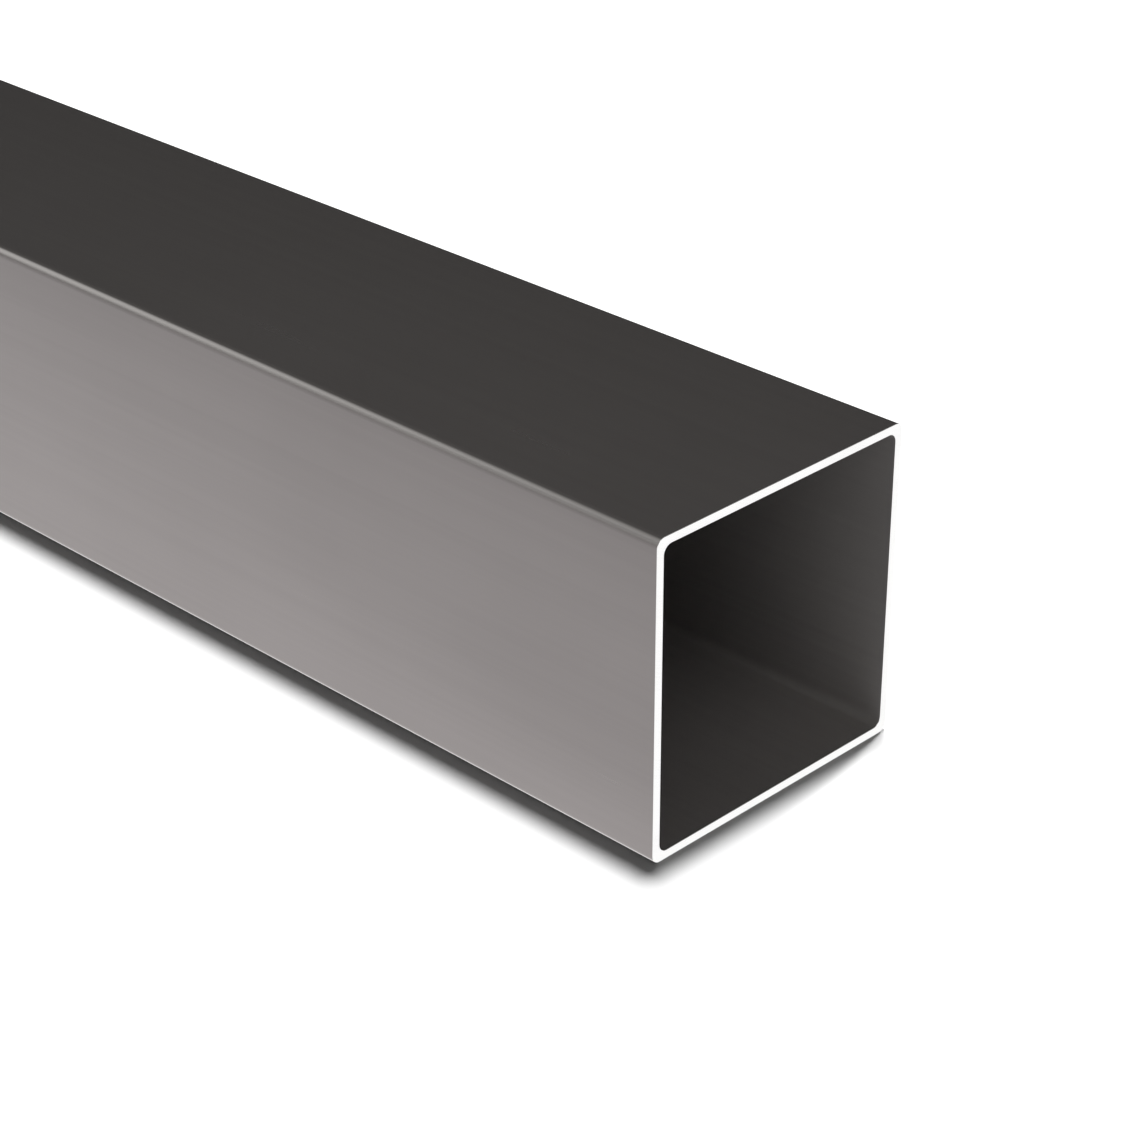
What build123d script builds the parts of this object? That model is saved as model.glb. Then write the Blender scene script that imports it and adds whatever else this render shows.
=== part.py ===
"""Square metal tube: one piece of thin-walled square stock, cut to a metre.

The tube lies on one of its flat sides. X runs along it, +Z is up, and the origin
is the middle of the underside, halfway between the two saw cuts. Millimetres.
"""

import os

from build123d import *

# Cross-section of the stock
outside_width = 75.0  # across the flats, the same in Y and in Z
wall = 2.0  # thickness of each flat side
outside_corner_radius = 2.1
inside_corner_radius = 2.2

# Length that the stock is cut to
cut_length = 1000.0
deburr = 0.1  # leg of the small bevel filed round each rim, outside and inside

# The hollow is what the wall leaves of the outside width
hollow_width = outside_width - 2 * wall
section_height = outside_width / 2  # middle of the section above the floor

with BuildPart() as square_tube:
    # The section: a rounded square with a rounded square hollow, drawn at one end
    with BuildSketch(Plane.YZ.offset(-cut_length / 2)):
        with Locations((0, section_height)):
            RectangleRounded(outside_width, outside_width, outside_corner_radius)
            RectangleRounded(
                hollow_width, hollow_width, inside_corner_radius, mode=Mode.SUBTRACT
            )
    extrude(amount=cut_length)

    # Both saw cuts are square to the length, with their sharp rims taken off
    saw_cuts = square_tube.faces().filter_by(Axis.X)
    chamfer(saw_cuts.edges(), length=deburr)

square_tube.part.label = "square_tube"

os.makedirs("parts", exist_ok=True)
export_step(square_tube.part, "parts/square_tube.step")
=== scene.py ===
"""Square metal tube: the steel finishes, the fine mesh that carries them, and a plain white studio.

Units are metres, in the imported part's own frame: X runs along the tube, +Z is up and
the tube lies on the floor at Z = 0. The camera looks at the open end at +X.
"""

from __future__ import annotations

import logging
import math
from dataclasses import dataclass
from enum import Enum

import bmesh
import bpy
from mathutils import Matrix, Vector


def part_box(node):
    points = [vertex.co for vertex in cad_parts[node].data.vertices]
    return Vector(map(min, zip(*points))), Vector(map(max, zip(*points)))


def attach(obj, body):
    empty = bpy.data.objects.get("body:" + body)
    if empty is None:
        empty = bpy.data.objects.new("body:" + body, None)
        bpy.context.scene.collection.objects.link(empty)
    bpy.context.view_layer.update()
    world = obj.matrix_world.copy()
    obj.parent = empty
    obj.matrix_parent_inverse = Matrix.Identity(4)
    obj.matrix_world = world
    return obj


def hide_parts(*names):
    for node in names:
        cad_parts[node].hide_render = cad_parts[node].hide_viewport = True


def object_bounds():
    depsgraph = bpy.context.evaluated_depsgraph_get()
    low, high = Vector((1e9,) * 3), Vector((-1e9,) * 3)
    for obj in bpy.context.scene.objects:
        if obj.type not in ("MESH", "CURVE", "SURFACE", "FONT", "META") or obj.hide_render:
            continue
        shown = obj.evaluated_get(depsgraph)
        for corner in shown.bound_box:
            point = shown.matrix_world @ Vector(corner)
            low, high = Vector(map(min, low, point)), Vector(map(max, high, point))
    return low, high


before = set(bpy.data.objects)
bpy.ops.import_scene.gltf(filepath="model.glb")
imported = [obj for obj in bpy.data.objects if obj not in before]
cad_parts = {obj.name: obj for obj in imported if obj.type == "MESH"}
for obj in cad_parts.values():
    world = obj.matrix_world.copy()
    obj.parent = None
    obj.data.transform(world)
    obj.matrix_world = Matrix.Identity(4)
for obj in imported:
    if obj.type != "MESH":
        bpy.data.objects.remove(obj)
CAD_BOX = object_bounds()

NODE = "square_tube"
BODY = "root"

MILLIMETRE = 0.001
QUARTER_TURN = math.pi / 2
WHITE = (1.0, 1.0, 1.0, 1.0)
MIDDLE_OF_NOISE = (0.3, 0.7)  # where nearly all of a noise's values lie
END_ON = 0.5  # a face whose normal has more X than this looks out of an end

Colour = tuple[float, float, float]
Span = tuple[float, float]
Socket = bpy.types.NodeSocket

log = logging.getLogger("square_tube")


def placed(name: str, data: bpy.types.ID) -> bpy.types.Object:
    """Puts an object with this data in the scene.

    Args:
        name: the object's name.
        data: its mesh, light or camera.

    Returns:
        The object, at the origin.
    """
    made = bpy.data.objects.new(name, data)
    bpy.context.scene.collection.objects.link(made)
    return made


def shaped(name: str, bm: bmesh.types.BMesh) -> bpy.types.Object:
    """Puts an object with this shape in the scene, and frees the shape.

    Args:
        name: the name of the object and of its mesh.
        bm: the finished shape.

    Returns:
        The object, at the origin.
    """
    mesh = bpy.data.meshes.new(name)
    bm.to_mesh(mesh)
    bm.free()
    return placed(name, mesh)


class Skin(Enum):
    """The three kinds of surface on the tube, in the order of the mesh's material slots."""

    OUTSIDE = 0
    INSIDE = 1
    SAW_CUT = 2


class NodeBench:
    """A node tree with short ways to add nodes and join their sockets."""

    def __init__(self, tree: bpy.types.NodeTree) -> None:
        """Takes a node tree and empties it.

        Args:
            tree: the node tree of a material, world or node group.
        """
        self.tree = tree
        tree.nodes.clear()

    def add(
        self, kind: str, inputs: dict[str | int, object] | None = None, **settings: object
    ) -> bpy.types.Node:
        """Adds one node.

        Args:
            kind: the node's type, without the ShaderNode prefix.
            inputs: for each input's name or number, its value or the output socket that feeds it.
            settings: the node's own properties.

        Returns:
            The new node.
        """
        prefix = "" if kind.startswith("NodeGroup") else "ShaderNode"
        node = self.tree.nodes.new(prefix + kind)
        for name, value in settings.items():
            setattr(node, name, value)
        for name, value in (inputs or {}).items():
            self.feed(node.inputs[name], value)
        return node

    def feed(self, socket: Socket, value: object) -> None:
        """Links an output socket to an input, or sets the input's own value.

        Args:
            socket: the input.
            value: an output socket, or a plain value.
        """
        if isinstance(value, Socket):
            self.tree.links.new(value, socket)
        else:
            socket.default_value = value

    def maths(self, operation: str, *values: object, clamp: bool = False) -> Socket:
        """Adds a Math node.

        Args:
            operation: the node's operation, such as MULTIPLY.
            values: its inputs in order, numbers or sockets.
            clamp: True keeps the result from 0 to 1.

        Returns:
            The node's result.
        """
        node = self.add("Math", dict(enumerate(values)), operation=operation, use_clamp=clamp)
        return node.outputs[0]

    def ramp(
        self, value: object, span: tuple[object, object], at_start: float, at_end: float
    ) -> Socket:
        """Adds a Map Range node with soft ends.

        Args:
            value: the socket or number to map.
            span: where the ramp starts and ends, as numbers or sockets.
            at_start: the result up to the start.
            at_end: the result from the end on.

        Returns:
            The mapped value.
        """
        start, end = span
        inputs = {0: value, 1: start, 2: end, 3: at_start, 4: at_end}
        return self.add("MapRange", inputs, interpolation_type="SMOOTHSTEP").outputs[0]

    def mix(self, factor: object, first: object, second: object) -> Socket:
        """Adds a Mix node for numbers.

        Args:
            factor: 0 gives the first number and 1 the second.
            first: a number or a socket.
            second: a number or a socket.

        Returns:
            The mixed number.
        """
        inputs = {0: factor, 2: first, 3: second}
        return self.add("Mix", inputs, data_type="FLOAT").outputs[0]

    def blend(self, factor: object, first: object, second: object) -> Socket:
        """Adds a Mix node for colours.

        Args:
            factor: 0 gives the first colour and 1 the second.
            first: an RGBA colour or a socket.
            second: an RGBA colour or a socket.

        Returns:
            The mixed colour.
        """
        inputs = {0: factor, 6: first, 7: second}
        return self.add("Mix", inputs, data_type="RGBA").outputs[2]

    def group(self, tree: bpy.types.NodeTree, inputs: dict[str, object]) -> Socket:
        """Places a node group and feeds its inputs.

        Args:
            tree: the group.
            inputs: for each input's name, its value or the output socket that feeds it.

        Returns:
            The group's one output.
        """
        node = self.tree.nodes.new("ShaderNodeGroup")
        node.node_tree = tree
        for name, value in inputs.items():
            self.feed(node.inputs[name], value)
        return node.outputs[0]

    def finish_metal(self, colour: Socket, roughness: Socket, relief: Socket, height: float) -> None:
        """Adds a bare metal's shader and the material's output.

        Args:
            colour: the metal's colour.
            roughness: the metal's roughness.
            relief: its fine relief, from 0 to 1.
            height: how high a relief of 1 stands.
        """
        bump = self.add("Bump", {"Strength": 1.0, "Distance": height, "Height": relief})
        look = {"Base Color": colour, "Roughness": roughness, "Metallic": 1.0, "Normal": bump.outputs[0]}
        shader = self.add("BsdfPrincipled", look)
        self.add("OutputMaterial", {0: shader.outputs[0]})

    def seen_in_metal(self) -> Socket:
        """Adds a Light Path node.

        Returns:
            1 for a ray that metal mirrors or glass lets through, otherwise 0.
        """
        path = self.add("LightPath")
        return self.maths("MAXIMUM", path.outputs["Is Glossy Ray"], path.outputs["Is Transmission Ray"])


@dataclass(frozen=True)
class EffectGroup:
    """A shader node group under way: its inputs as sockets to read, its output as one to feed."""

    bench: NodeBench
    given: dict[str, Socket]
    result: Socket

    @classmethod
    def start(cls, name: str, output: str, sizes: dict[str, float]) -> EffectGroup:
        """Starts a group that takes a Position and some sizes, and gives one number.

        Args:
            name: the group's name.
            output: the name of its output.
            sizes: the name of each further input, with its default.

        Returns:
            The group, ready for its nodes.
        """
        tree = bpy.data.node_groups.new(name, "ShaderNodeTree")
        tree.interface.new_socket("Position", in_out="INPUT", socket_type="NodeSocketVector")
        for label, default in sizes.items():
            socket = tree.interface.new_socket(label, in_out="INPUT", socket_type="NodeSocketFloat")
            socket.default_value = default
        tree.interface.new_socket(output, in_out="OUTPUT", socket_type="NodeSocketFloat")
        bench = NodeBench(tree)
        entry = bench.add("NodeGroupInput")
        leave = bench.add("NodeGroupOutput")
        given = {socket.name: socket for socket in entry.outputs if socket.name}
        return cls(bench, given, leave.inputs[output])


@dataclass(frozen=True)
class SteelEffects:
    """The node groups that the steel finishes share."""

    rolling: bpy.types.NodeTree
    mottle: bpy.types.NodeTree
    rubbing: bpy.types.NodeTree

    @classmethod
    def build(cls) -> SteelEffects:
        """Makes each group once."""
        return cls(cls._rolling_lines(), cls._mottle(), cls._rubbed_corners())

    @staticmethod
    def _noise(bench: NodeBench, settings: dict[str, object]) -> Socket:
        """Adds a noise, which seldom leaves its middle, and spreads it over the whole of 0 to 1."""
        noise = bench.add("TexNoise", settings).outputs[0]
        return bench.ramp(noise, MIDDLE_OF_NOISE, 0.0, 1.0)

    @classmethod
    def _rolling_lines(cls) -> bpy.types.NodeTree:
        """Makes fine lines along X, as forming rolls leave them, from 0 to 1.

        Returns:
            The group.
        """
        sizes = {"Spacing": 0.9 * MILLIMETRE, "Run": 120.0 * MILLIMETRE}
        effect = EffectGroup.start("rolling_lines", "Lines", sizes)
        bench, given = effect.bench, effect.given
        across = bench.maths("DIVIDE", 1.0, given["Spacing"])
        along = bench.maths("DIVIDE", 1.0, given["Run"])
        stretch = bench.add("CombineXYZ", {0: along, 1: across, 2: across}).outputs[0]
        place = bench.add("VectorMath", {0: given["Position"], 1: stretch}, operation="MULTIPLY")
        settings = {"Vector": place.outputs[0], "Scale": 1.0, "Detail": 3.0, "Roughness": 0.6}
        bench.feed(effect.result, cls._noise(bench, settings))
        return bench.tree

    @classmethod
    def _mottle(cls) -> bpy.types.NodeTree:
        """Makes soft cloudy patches, as oil and air leave them on a rolled skin, from 0 to 1.

        Returns:
            The group.
        """
        effect = EffectGroup.start("mottle", "Patches", {"Patch": 45.0 * MILLIMETRE})
        bench, given = effect.bench, effect.given
        scale = bench.maths("DIVIDE", 1.0, given["Patch"])
        settings = {"Vector": given["Position"], "Scale": scale, "Detail": 4.0, "Roughness": 0.55}
        bench.feed(effect.result, cls._noise(bench, settings))
        return bench.tree

    @staticmethod
    def _rubbed_corners() -> bpy.types.NodeTree:
        """Makes the mask of where handling rubs a square bar along X: its four long corners.

        Returns:
            The group.
        """
        sizes = {"Half Width": 37.5 * MILLIMETRE, "Full Rub": 0.9 * MILLIMETRE, "Reach": 1.4 * MILLIMETRE}
        effect = EffectGroup.start("rubbed_corners", "Rubbed", sizes)
        bench, given = effect.bench, effect.given
        parts = bench.add("SeparateXYZ", {0: given["Position"]})
        across = bench.maths("ABSOLUTE", parts.outputs[1])
        upward = bench.maths("ABSOLUTE", parts.outputs[2])
        nearer = bench.maths("MINIMUM", across, upward)
        from_corner = bench.maths("SUBTRACT", given["Half Width"], nearer)
        fade = (given["Full Rub"], given["Reach"])
        bench.feed(effect.result, bench.ramp(from_corner, fade, 1.0, 0.0))
        return bench.tree


@dataclass(frozen=True)
class RolledSkin:
    """The warm-grey skin of cold-rolled strip, with faint lines along the tube and rubbed corners."""

    name: str
    grey: Colour
    rubbed_grey: Colour
    roughness: float
    rubbed_roughness: float
    tone_swing: float = 0.025
    roughness_swing: float = 0.03
    fine_share: float = 0.3
    broad_share: float = 0.35
    patch_share: float = 0.35
    fine_lines: Span = (0.9 * MILLIMETRE, 120.0 * MILLIMETRE)
    broad_lines: Span = (4.0 * MILLIMETRE, 600.0 * MILLIMETRE)
    patch: float = 45.0 * MILLIMETRE
    rubbed_edge: Span = (0.89 * MILLIMETRE, 1.43 * MILLIMETRE)
    line_height: float = 0.0015 * MILLIMETRE

    def material(self, effects: SteelEffects, tube: SquareTube) -> bpy.types.Material:
        """Makes the material.

        Args:
            effects: the shared node groups.
            tube: the tube, for its width and its middle's height.

        Returns:
            The material.
        """
        made = bpy.data.materials.new(self.name)
        made.use_nodes = True
        bench = NodeBench(made.node_tree)
        where = bench.add("TexCoord").outputs["Object"]
        fine = self._lines(bench, effects, where, self.fine_lines)
        broad = self._lines(bench, effects, where, self.broad_lines)
        patches = bench.group(effects.mottle, {"Position": where, "Patch": self.patch})
        middle = (0.0, 0.0, tube.middle)
        centred = bench.add("VectorMath", {0: where, 1: middle}, operation="SUBTRACT").outputs[0]
        full_rub, reach = self.rubbed_edge
        corner = {"Half Width": tube.side / 2, "Full Rub": full_rub, "Reach": reach}
        rubbed = bench.group(effects.rubbing, {"Position": centred, **corner})
        tone = bench.maths("MULTIPLY", fine, self.fine_share)
        tone = bench.maths("MULTIPLY_ADD", broad, self.broad_share, tone)
        tone = bench.maths("MULTIPLY_ADD", patches, self.patch_share, tone)
        skin = bench.blend(tone, self._shade(1 - self.tone_swing), self._shade(1 + self.tone_swing))
        skin = bench.blend(rubbed, skin, (*self.rubbed_grey, 1.0))
        dullest = self.roughness + self.roughness_swing
        rough = bench.maths("MULTIPLY_ADD", tone, -2 * self.roughness_swing, dullest)
        rough = bench.mix(rubbed, rough, self.rubbed_roughness)
        bench.finish_metal(skin, rough, fine, self.line_height)
        return made

    def _shade(self, share: float) -> tuple[float, ...]:
        """The skin's grey made darker or lighter by a share, as RGBA."""
        return (*(part * share for part in self.grey), 1.0)

    @staticmethod
    def _lines(bench: NodeBench, effects: SteelEffects, where: Socket, size: Span) -> Socket:
        """Places one set of rolling lines.

        Args:
            bench: the material's node tree.
            effects: the shared node groups.
            where: the place on the tube.
            size: the lines' spacing and run.

        Returns:
            The lines, from 0 to 1.
        """
        spacing, run = size
        return bench.group(effects.rolling, {"Position": where, "Spacing": spacing, "Run": run})


@dataclass(frozen=True)
class SawCut:
    """Bright bare steel at the cut ends, with the fine parallel strokes of a saw."""

    name: str
    bright: Colour
    stroke_grey: Colour
    roughness: float
    roughness_swing: float = 0.06
    stroke_spacing: float = 0.4 * MILLIMETRE
    stroke_run: float = 30.0 * MILLIMETRE
    stroke_height: float = 0.003 * MILLIMETRE
    stroke_tilt: float = 24.0
    patch: float = 6.0 * MILLIMETRE

    def material(self, effects: SteelEffects) -> bpy.types.Material:
        """Makes the material.

        Args:
            effects: the shared node groups.

        Returns:
            The material.
        """
        made = bpy.data.materials.new(self.name)
        made.use_nodes = True
        bench = NodeBench(made.node_tree)
        where = bench.add("TexCoord").outputs["Object"]
        across_the_end = (math.radians(self.stroke_tilt), 0.0, QUARTER_TURN)
        turned = bench.add("Mapping", {"Vector": where, "Rotation": across_the_end}).outputs[0]
        size = {"Spacing": self.stroke_spacing, "Run": self.stroke_run}
        strokes = bench.group(effects.rolling, {"Position": turned, **size})
        patches = bench.group(effects.mottle, {"Position": where, "Patch": self.patch})
        tone = bench.maths("MULTIPLY", strokes, patches)
        colour = bench.blend(tone, (*self.bright, 1.0), (*self.stroke_grey, 1.0))
        rough = bench.maths("MULTIPLY_ADD", patches, self.roughness_swing, self.roughness)
        bench.finish_metal(colour, rough, strokes, self.stroke_height)
        return made


@dataclass
class SquareTube:
    """The tube: a rounded square bar with a rounded square bore, and deburred saw cuts."""

    length: float
    side: float
    wall: float = 2.0 * MILLIMETRE
    outside_corner: float = 2.1 * MILLIMETRE
    inside_corner: float = 2.2 * MILLIMETRE
    deburr: float = 0.1 * MILLIMETRE
    corner_steps: int = 12
    deburr_steps: int = 3
    flat_weight: int = 100

    @property
    def middle(self) -> float:
        """Height of the section's middle above the floor."""
        return self.side / 2

    def build(self) -> bpy.types.Object:
        """Makes the tube's mesh.

        Returns:
            The object, at the origin.
        """
        bm = bmesh.new()
        self._add_sleeve(bm, self.side, self.outside_corner, Skin.OUTSIDE)
        bore = self._add_sleeve(bm, self.side - 2 * self.wall, self.inside_corner, Skin.INSIDE)
        bmesh.ops.reverse_faces(bm, faces=bore)
        self._close_ends(bm)
        self._deburr_ends(bm)
        for face in bm.faces:
            face.smooth = True
        tube = shaped("steel_tube", bm)

        # Shading stays flat on the sides, right up to their rounded corners
        flat = tube.modifiers.new("flat_sides", "WEIGHTED_NORMAL")
        flat.weight = self.flat_weight
        return tube

    def _add_sleeve(
        self, bm: bmesh.types.BMesh, width: float, corner: float, skin: Skin
    ) -> list[bmesh.types.BMFace]:
        """Adds the four sides of a bar with rounded long corners, open at its ends.

        Args:
            bm: the mesh to add to.
            width: the bar's width across its flats.
            corner: the radius of its long corners.
            skin: the surface that its faces get.

        Returns:
            The new faces.
        """
        before = set(bm.faces)
        shape = Matrix.Diagonal((self.length, width, width, 1.0))
        place = Matrix.Translation((0.0, 0.0, self.middle)) @ shape
        made = bmesh.ops.create_cube(bm, size=1.0, matrix=place)
        edges = {edge for vert in made["verts"] for edge in vert.link_edges}
        long_edges = [edge for edge in edges if edge.calc_length() > self.length / 2]
        bmesh.ops.bevel(
            bm,
            geom=long_edges,
            offset=corner,
            offset_type="OFFSET",
            segments=self.corner_steps,
            profile=0.5,
            affect="EDGES",
            material=-1,
        )
        ends = [face for face in bm.faces if face not in before and abs(face.normal.x) > END_ON]
        bmesh.ops.delete(bm, geom=ends, context="FACES_ONLY")
        sides = [face for face in bm.faces if face not in before]
        for face in sides:
            face.material_index = skin.value
        return sides

    def _close_ends(self, bm: bmesh.types.BMesh) -> None:
        """Joins the outside to the bore with a flat ring at each end.

        Args:
            bm: the mesh, with both sleeves in it.
        """
        for sign in (-1, 1):
            rims = [edge for edge in bm.edges if edge.is_boundary and edge.verts[0].co.x * sign > 0]
            ring = bmesh.ops.bridge_loops(bm, edges=rims)
            for face in ring["faces"]:
                face.material_index = Skin.SAW_CUT.value
                if face.normal.x * sign < 0:
                    face.normal_flip()

    def _deburr_ends(self, bm: bmesh.types.BMesh) -> None:
        """Rounds the outside and the inside rim of both saw cuts.

        Args:
            bm: the closed mesh.
        """
        rims = []
        for edge in bm.edges:
            skins = {face.material_index for face in edge.link_faces}
            if len(skins) == 2 and Skin.SAW_CUT.value in skins:
                rims.append(edge)
        rounded = bmesh.ops.bevel(
            bm,
            geom=rims,
            offset=self.deburr,
            offset_type="OFFSET",
            segments=self.deburr_steps,
            profile=0.5,
            affect="EDGES",
            material=-1,
        )
        for face in rounded["faces"]:
            face.material_index = Skin.SAW_CUT.value

    def dress(self, tube: bpy.types.Object) -> None:
        """Gives the tube its three finishes, in the order of Skin.

        Args:
            tube: the object that build() made.
        """
        effects = SteelEffects.build()
        outside = RolledSkin(
            "rolled_skin",
            grey=(0.32, 0.2955, 0.293),
            rubbed_grey=(0.785, 0.749, 0.742),
            roughness=0.3,
            rubbed_roughness=0.28,
        )
        inside = RolledSkin(
            "bore_skin",
            grey=(0.435, 0.416, 0.411),
            rubbed_grey=(0.435, 0.416, 0.411),
            roughness=0.6,
            rubbed_roughness=0.6,
        )
        cut = SawCut(
            "saw_cut",
            bright=(0.995, 0.992, 0.985),
            stroke_grey=(0.965, 0.96, 0.952),
            roughness=0.14,
        )
        finishes = {
            Skin.OUTSIDE: outside.material(effects, self),
            Skin.INSIDE: inside.material(effects, self),
            Skin.SAW_CUT: cut.material(effects),
        }
        for skin in Skin:
            tube.data.materials.append(finishes[skin])


@dataclass(frozen=True)
class Glow:
    """A soft round glow in the room: its light, and in degrees its middle's place and two radii."""

    heading: float
    rise: float
    outer: float
    inner: float
    strength: float

    def shine(self, bench: NodeBench, toward: Socket) -> Socket:
        """Adds the glow's nodes.

        Args:
            bench: the world's node tree.
            toward: the direction that is looked in.

        Returns:
            The glow's light in that direction, full within the inner radius and gone past the outer.
        """
        heading, rise = math.radians(self.heading), math.radians(self.rise)
        level = math.cos(rise)
        middle = (math.cos(heading) * level, math.sin(heading) * level, math.sin(rise))
        nearness = bench.add("VectorMath", {0: toward, 1: middle}, operation="DOT_PRODUCT")
        edge = (math.cos(math.radians(self.outer)), math.cos(math.radians(self.inner)))
        return bench.ramp(nearness.outputs["Value"], edge, 0.0, self.strength)


@dataclass(frozen=True)
class Lamp:
    """A distant lamp, by the direction in which its light falls and its width in degrees."""

    name: str
    falls: tuple[float, float, float]
    softness: float
    energy: float

    def hang(self, floor: bpy.types.Object) -> None:
        """Hangs the lamp so that it lights the floor alone, where it sets the tube's shadow.

        Args:
            floor: the floor.
        """
        light = bpy.data.lights.new(self.name, "SUN")
        light.angle = math.radians(self.softness)
        light.energy = self.energy
        lamp = placed(self.name, light)
        lamp.rotation_mode = "QUATERNION"
        lamp.rotation_quaternion = Vector(self.falls).to_track_quat("-Z", "Y")
        lit = bpy.data.collections.new(self.name + "_lights")
        lit.objects.link(floor)
        lamp.light_linking.receiver_collection = lit


@dataclass(frozen=True)
class FloorShine:
    """How brightly the floor shows in the metal: white by the tube and its ends, dimmer far away."""

    far: float = 0.627
    wide: float = 0.195
    wide_edge: Span = (0.093, 0.106)
    narrow: float = 0.169
    narrow_width: float = 0.098
    narrow_length: float = 0.5435
    narrow_tip: float = 0.015
    narrow_fade: Span = (0.0, 2.0)  # in widths of the narrow band
    end_place: float = 0.7
    end_length: float = 0.215
    end_width: float = 0.25
    end_edge: Span = (0.9, 1.1)

    def strength(self, bench: NodeBench) -> Socket:
        """Adds the shine's nodes.

        Args:
            bench: the floor material's node tree.

        Returns:
            The shine at each place on the floor, up to 1.
        """
        where = bench.add("TexCoord").outputs["Object"]
        parts = bench.add("SeparateXYZ", {0: where})
        along = bench.maths("ABSOLUTE", parts.outputs[0])
        across = bench.maths("ABSOLUTE", parts.outputs[1])
        beside = self._beside(bench, along, across)
        before_end = self._before_end(bench, along, across)
        return bench.maths("MINIMUM", bench.maths("MAXIMUM", beside, before_end), 1.0)

    def _beside(self, bench: NodeBench, along: Socket, across: Socket) -> Socket:
        """The shine along the tube's sides, in a wide band and a narrow one that tapers to its ends.

        Args:
            bench: the floor material's node tree.
            along: the distance from the tube's middle, along it.
            across: the distance from the tube's middle, across it.

        Returns:
            The shine.
        """
        half_side = (CAD_BOX[1].y - CAD_BOX[0].y) / 2
        away = bench.maths("MAXIMUM", bench.maths("SUBTRACT", across, half_side), 0.0)
        taper = -self.narrow_width / self.narrow_length
        width = bench.maths("MULTIPLY_ADD", along, taper, self.narrow_width)
        width = bench.maths("MAXIMUM", width, self.narrow_tip)
        narrow = bench.ramp(bench.maths("DIVIDE", away, width), self.narrow_fade, self.narrow, 0.0)
        wide = bench.ramp(away, self.wide_edge, self.wide, 0.0)
        return bench.maths("ADD", bench.maths("ADD", narrow, wide), self.far)

    def _before_end(self, bench: NodeBench, along: Socket, across: Socket) -> Socket:
        """The white oval on the floor before each open end, which the saw cuts mirror.

        Args:
            bench: the floor material's node tree.
            along: the distance from the tube's middle, along it.
            across: the distance from the tube's middle, across it.

        Returns:
            The shine.
        """
        past = bench.maths("DIVIDE", bench.maths("SUBTRACT", along, self.end_place), self.end_length)
        aside = bench.maths("DIVIDE", across, self.end_width)
        squares = bench.maths("ADD", bench.maths("POWER", past, 2.0), bench.maths("POWER", aside, 2.0))
        return bench.ramp(bench.maths("SQRT", squares), self.end_edge, 1.0, 0.0)


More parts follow.
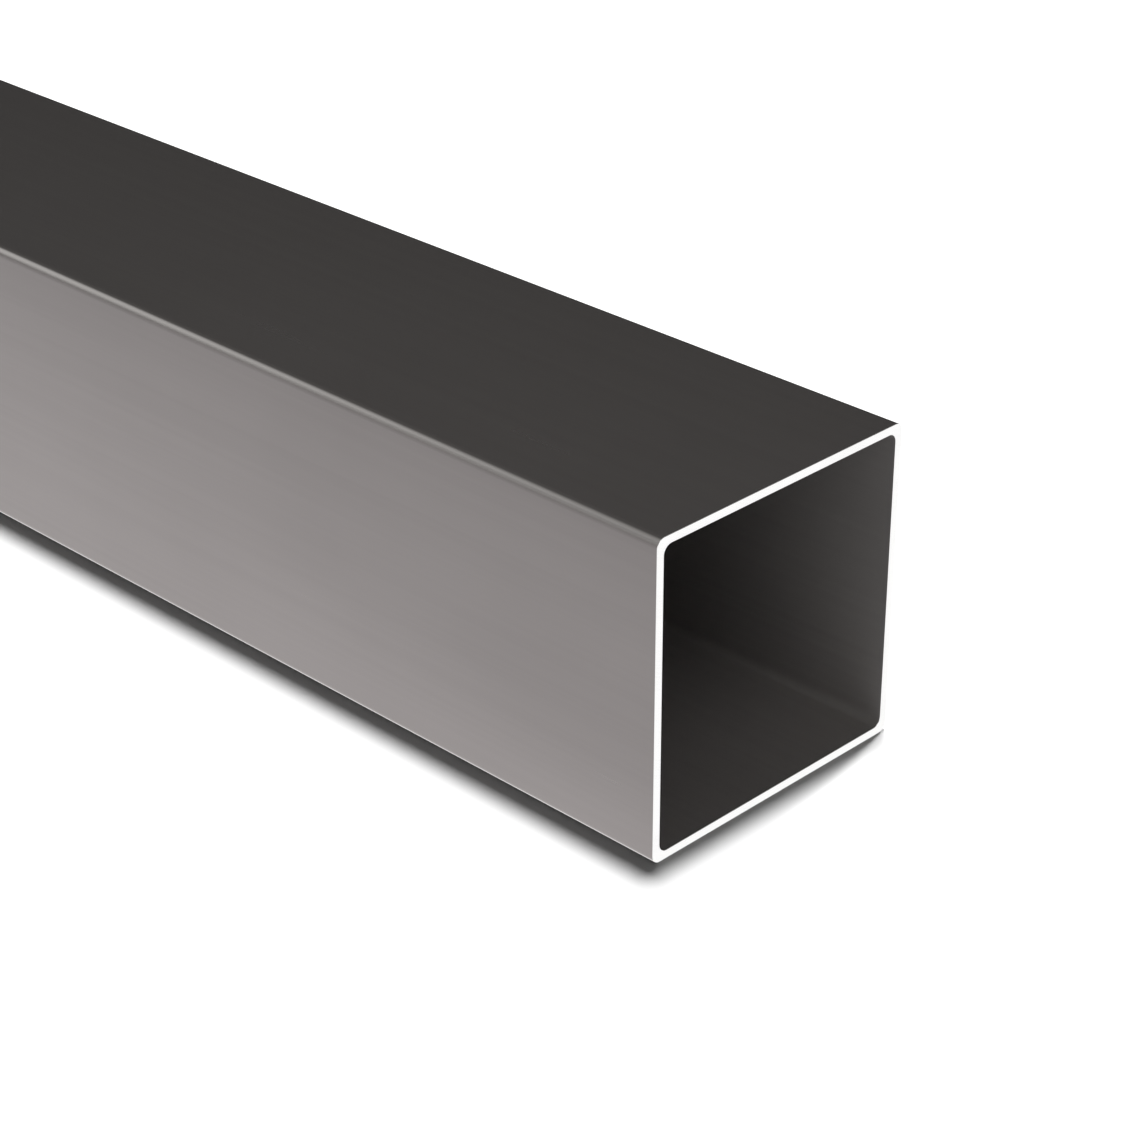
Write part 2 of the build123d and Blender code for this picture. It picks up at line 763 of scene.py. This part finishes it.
@dataclass
class Studio:
    """A white floor in a dim room, with soft glows overhead and beyond both ends of the tube."""

    floor_size: float = 40.0
    floor_white: float = 0.95
    floor_shine: FloorShine = FloorShine()
    shadow_fill: float = 0.085
    room_colour: Colour = (1.0, 1.0, 0.975)
    backdrop_edge: Span = (1.5, 3.0)
    overhead: Glow = Glow(heading=201.2, rise=80.3, outer=66.5, inner=65.3, strength=0.186)
    past_far_end: Glow = Glow(heading=198.1, rise=27.1, outer=25.3, inner=0.0, strength=0.384)
    beside_far_end: Glow = Glow(heading=230.1, rise=0.1, outer=23.2, inner=2.1, strength=0.49)
    over_near_end: Glow = Glow(heading=-30.0, rise=52.0, outer=24.0, inner=0.0, strength=1.9)
    beside_near_end: Glow = Glow(heading=-68.0, rise=8.0, outer=22.0, inner=0.0, strength=1.1)
    high_lamp: Lamp = Lamp("high_lamp", falls=(0.055, -0.0735, -1.0), softness=5.4, energy=3.3)
    low_lamp: Lamp = Lamp("low_lamp", falls=(0.205, -0.882, -0.423), softness=10.0, energy=3.4)

    def build(self) -> None:
        """Makes the floor, the room and the lamps."""
        floor = self._floor()
        self._room()
        for lamp in (self.high_lamp, self.low_lamp):
            lamp.hang(floor)

    def _floor(self) -> bpy.types.Object:
        """Makes the floor.

        Returns:
            The floor.
        """
        bm = bmesh.new()
        bmesh.ops.create_grid(bm, x_segments=1, y_segments=1, size=self.floor_size / 2)
        floor = shaped("floor", bm)
        floor.data.materials.append(self._floor_material())
        return floor

    def _floor_material(self) -> bpy.types.Material:
        """Makes white paper that keeps the shadow, and shines where metal mirrors it.

        Returns:
            The material.
        """
        made = bpy.data.materials.new("white_floor")
        made.use_nodes = True
        made.cycles.emission_sampling = "NONE"
        bench = NodeBench(made.node_tree)
        paper_white = (self.floor_white, self.floor_white, self.floor_white, 1.0)
        paper = bench.add("BsdfDiffuse", {"Color": paper_white})

        # The tube throws no shine back onto the paper, where it would wash out the shadow
        bounces = bench.add("LightPath").outputs["Diffuse Depth"]
        unbounced = bench.maths("SUBTRACT", 1.0, bounces, clamp=True)
        shine = bench.maths("MULTIPLY", self.floor_shine.strength(bench), unbounced)
        glow = bench.add("Emission", {"Color": WHITE, "Strength": shine})
        in_metal = bench.seen_in_metal()
        shader = bench.add("MixShader", {0: in_metal, 1: paper.outputs[0], 2: glow.outputs[0]})
        bench.add("OutputMaterial", {0: shader.outputs[0]})
        return made

    def _room(self) -> None:
        """Makes the world: the glows, a plain fill for the shadow, and a white backdrop."""
        world = bpy.data.worlds.new("studio_room")
        world.use_nodes = True
        world.cycles.sampling_method = "NONE"
        bpy.context.scene.world = world
        bench = NodeBench(world.node_tree)
        path = bench.add("LightPath")
        fills = path.outputs["Is Diffuse Ray"]
        toward = bench.add("TexCoord").outputs["Generated"]
        level = self.overhead.shine(bench, toward)
        low_glows = (self.past_far_end, self.beside_far_end, self.over_near_end, self.beside_near_end)
        for glow in low_glows:
            level = bench.maths("ADD", level, glow.shine(bench, toward))
        level = bench.mix(fills, level, self.shadow_fill)
        tint = bench.blend(fills, (*self.room_colour, 1.0), WHITE)
        room = bench.add("Background", {"Color": tint, "Strength": level})
        white = bench.add("Background", {"Color": WHITE, "Strength": 1.0})
        height = bench.add("SeparateXYZ", {0: toward}).outputs[2]
        low, high = (math.sin(math.radians(rise)) for rise in self.backdrop_edge)
        backdrop = bench.ramp(height, (low, high), 1.0, 0.0)
        mirrored = bench.maths("MULTIPLY", bench.seen_in_metal(), backdrop)
        seen = bench.maths("MAXIMUM", path.outputs["Is Camera Ray"], mirrored)
        shader = bench.add("MixShader", {0: seen, 1: room.outputs[0], 2: white.outputs[0]})
        bench.add("OutputWorld", {0: shader.outputs[0]})


@dataclass
class Camera:
    """The camera, where it stood for the photograph: angles in degrees, lens in millimetres."""

    place: tuple[float, float, float] = (0.8391, -0.4069, 0.3377)
    heading: float = 134.547
    dip: float = 28.165
    roll: float = -0.118
    lens: float = 93.54
    sensor: float = 36.0
    nearest: float = 0.01
    farthest: float = 100.0

    def build(self) -> None:
        """Makes the camera and hands it to the scene."""
        data = bpy.data.cameras.new("photo_camera")
        data.lens = self.lens
        data.sensor_width = self.sensor
        data.clip_start = self.nearest
        data.clip_end = self.farthest
        camera = placed("photo_camera", data)
        camera.matrix_world = Matrix.Translation(self.place) @ self._turn()
        bpy.context.scene.camera = camera

    def _turn(self) -> Matrix:
        """Works out which way the camera is turned.

        Returns:
            The turn, as a 4 x 4 matrix.
        """
        heading, dip, roll = (math.radians(angle) for angle in (self.heading, self.dip, self.roll))
        level = math.cos(dip)
        ahead = Vector((math.cos(heading) * level, math.sin(heading) * level, -math.sin(dip)))
        rightward = Vector((math.sin(heading), -math.cos(heading), 0.0))
        upward = rightward.cross(ahead)
        right = rightward * math.cos(roll) + upward * math.sin(roll)
        up = upward * math.cos(roll) - rightward * math.sin(roll)
        return Matrix((right, up, -ahead)).transposed().to_4x4()


def main() -> None:
    """Builds the camera, the tube and the studio."""
    logging.basicConfig(level=logging.INFO, format="%(name)s: %(message)s")
    bpy.context.scene.view_settings.view_transform = "Standard"
    Camera().build()

    low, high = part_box(NODE)
    tube = SquareTube(length=high.x - low.x, side=high.z - low.z)
    piece = tube.build()
    tube.dress(piece)
    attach(piece, BODY)
    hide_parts(NODE)
    log.info("%s: %d faces", piece.name, len(piece.data.polygons))

    Studio().build()


if __name__ == "__main__":
    main()
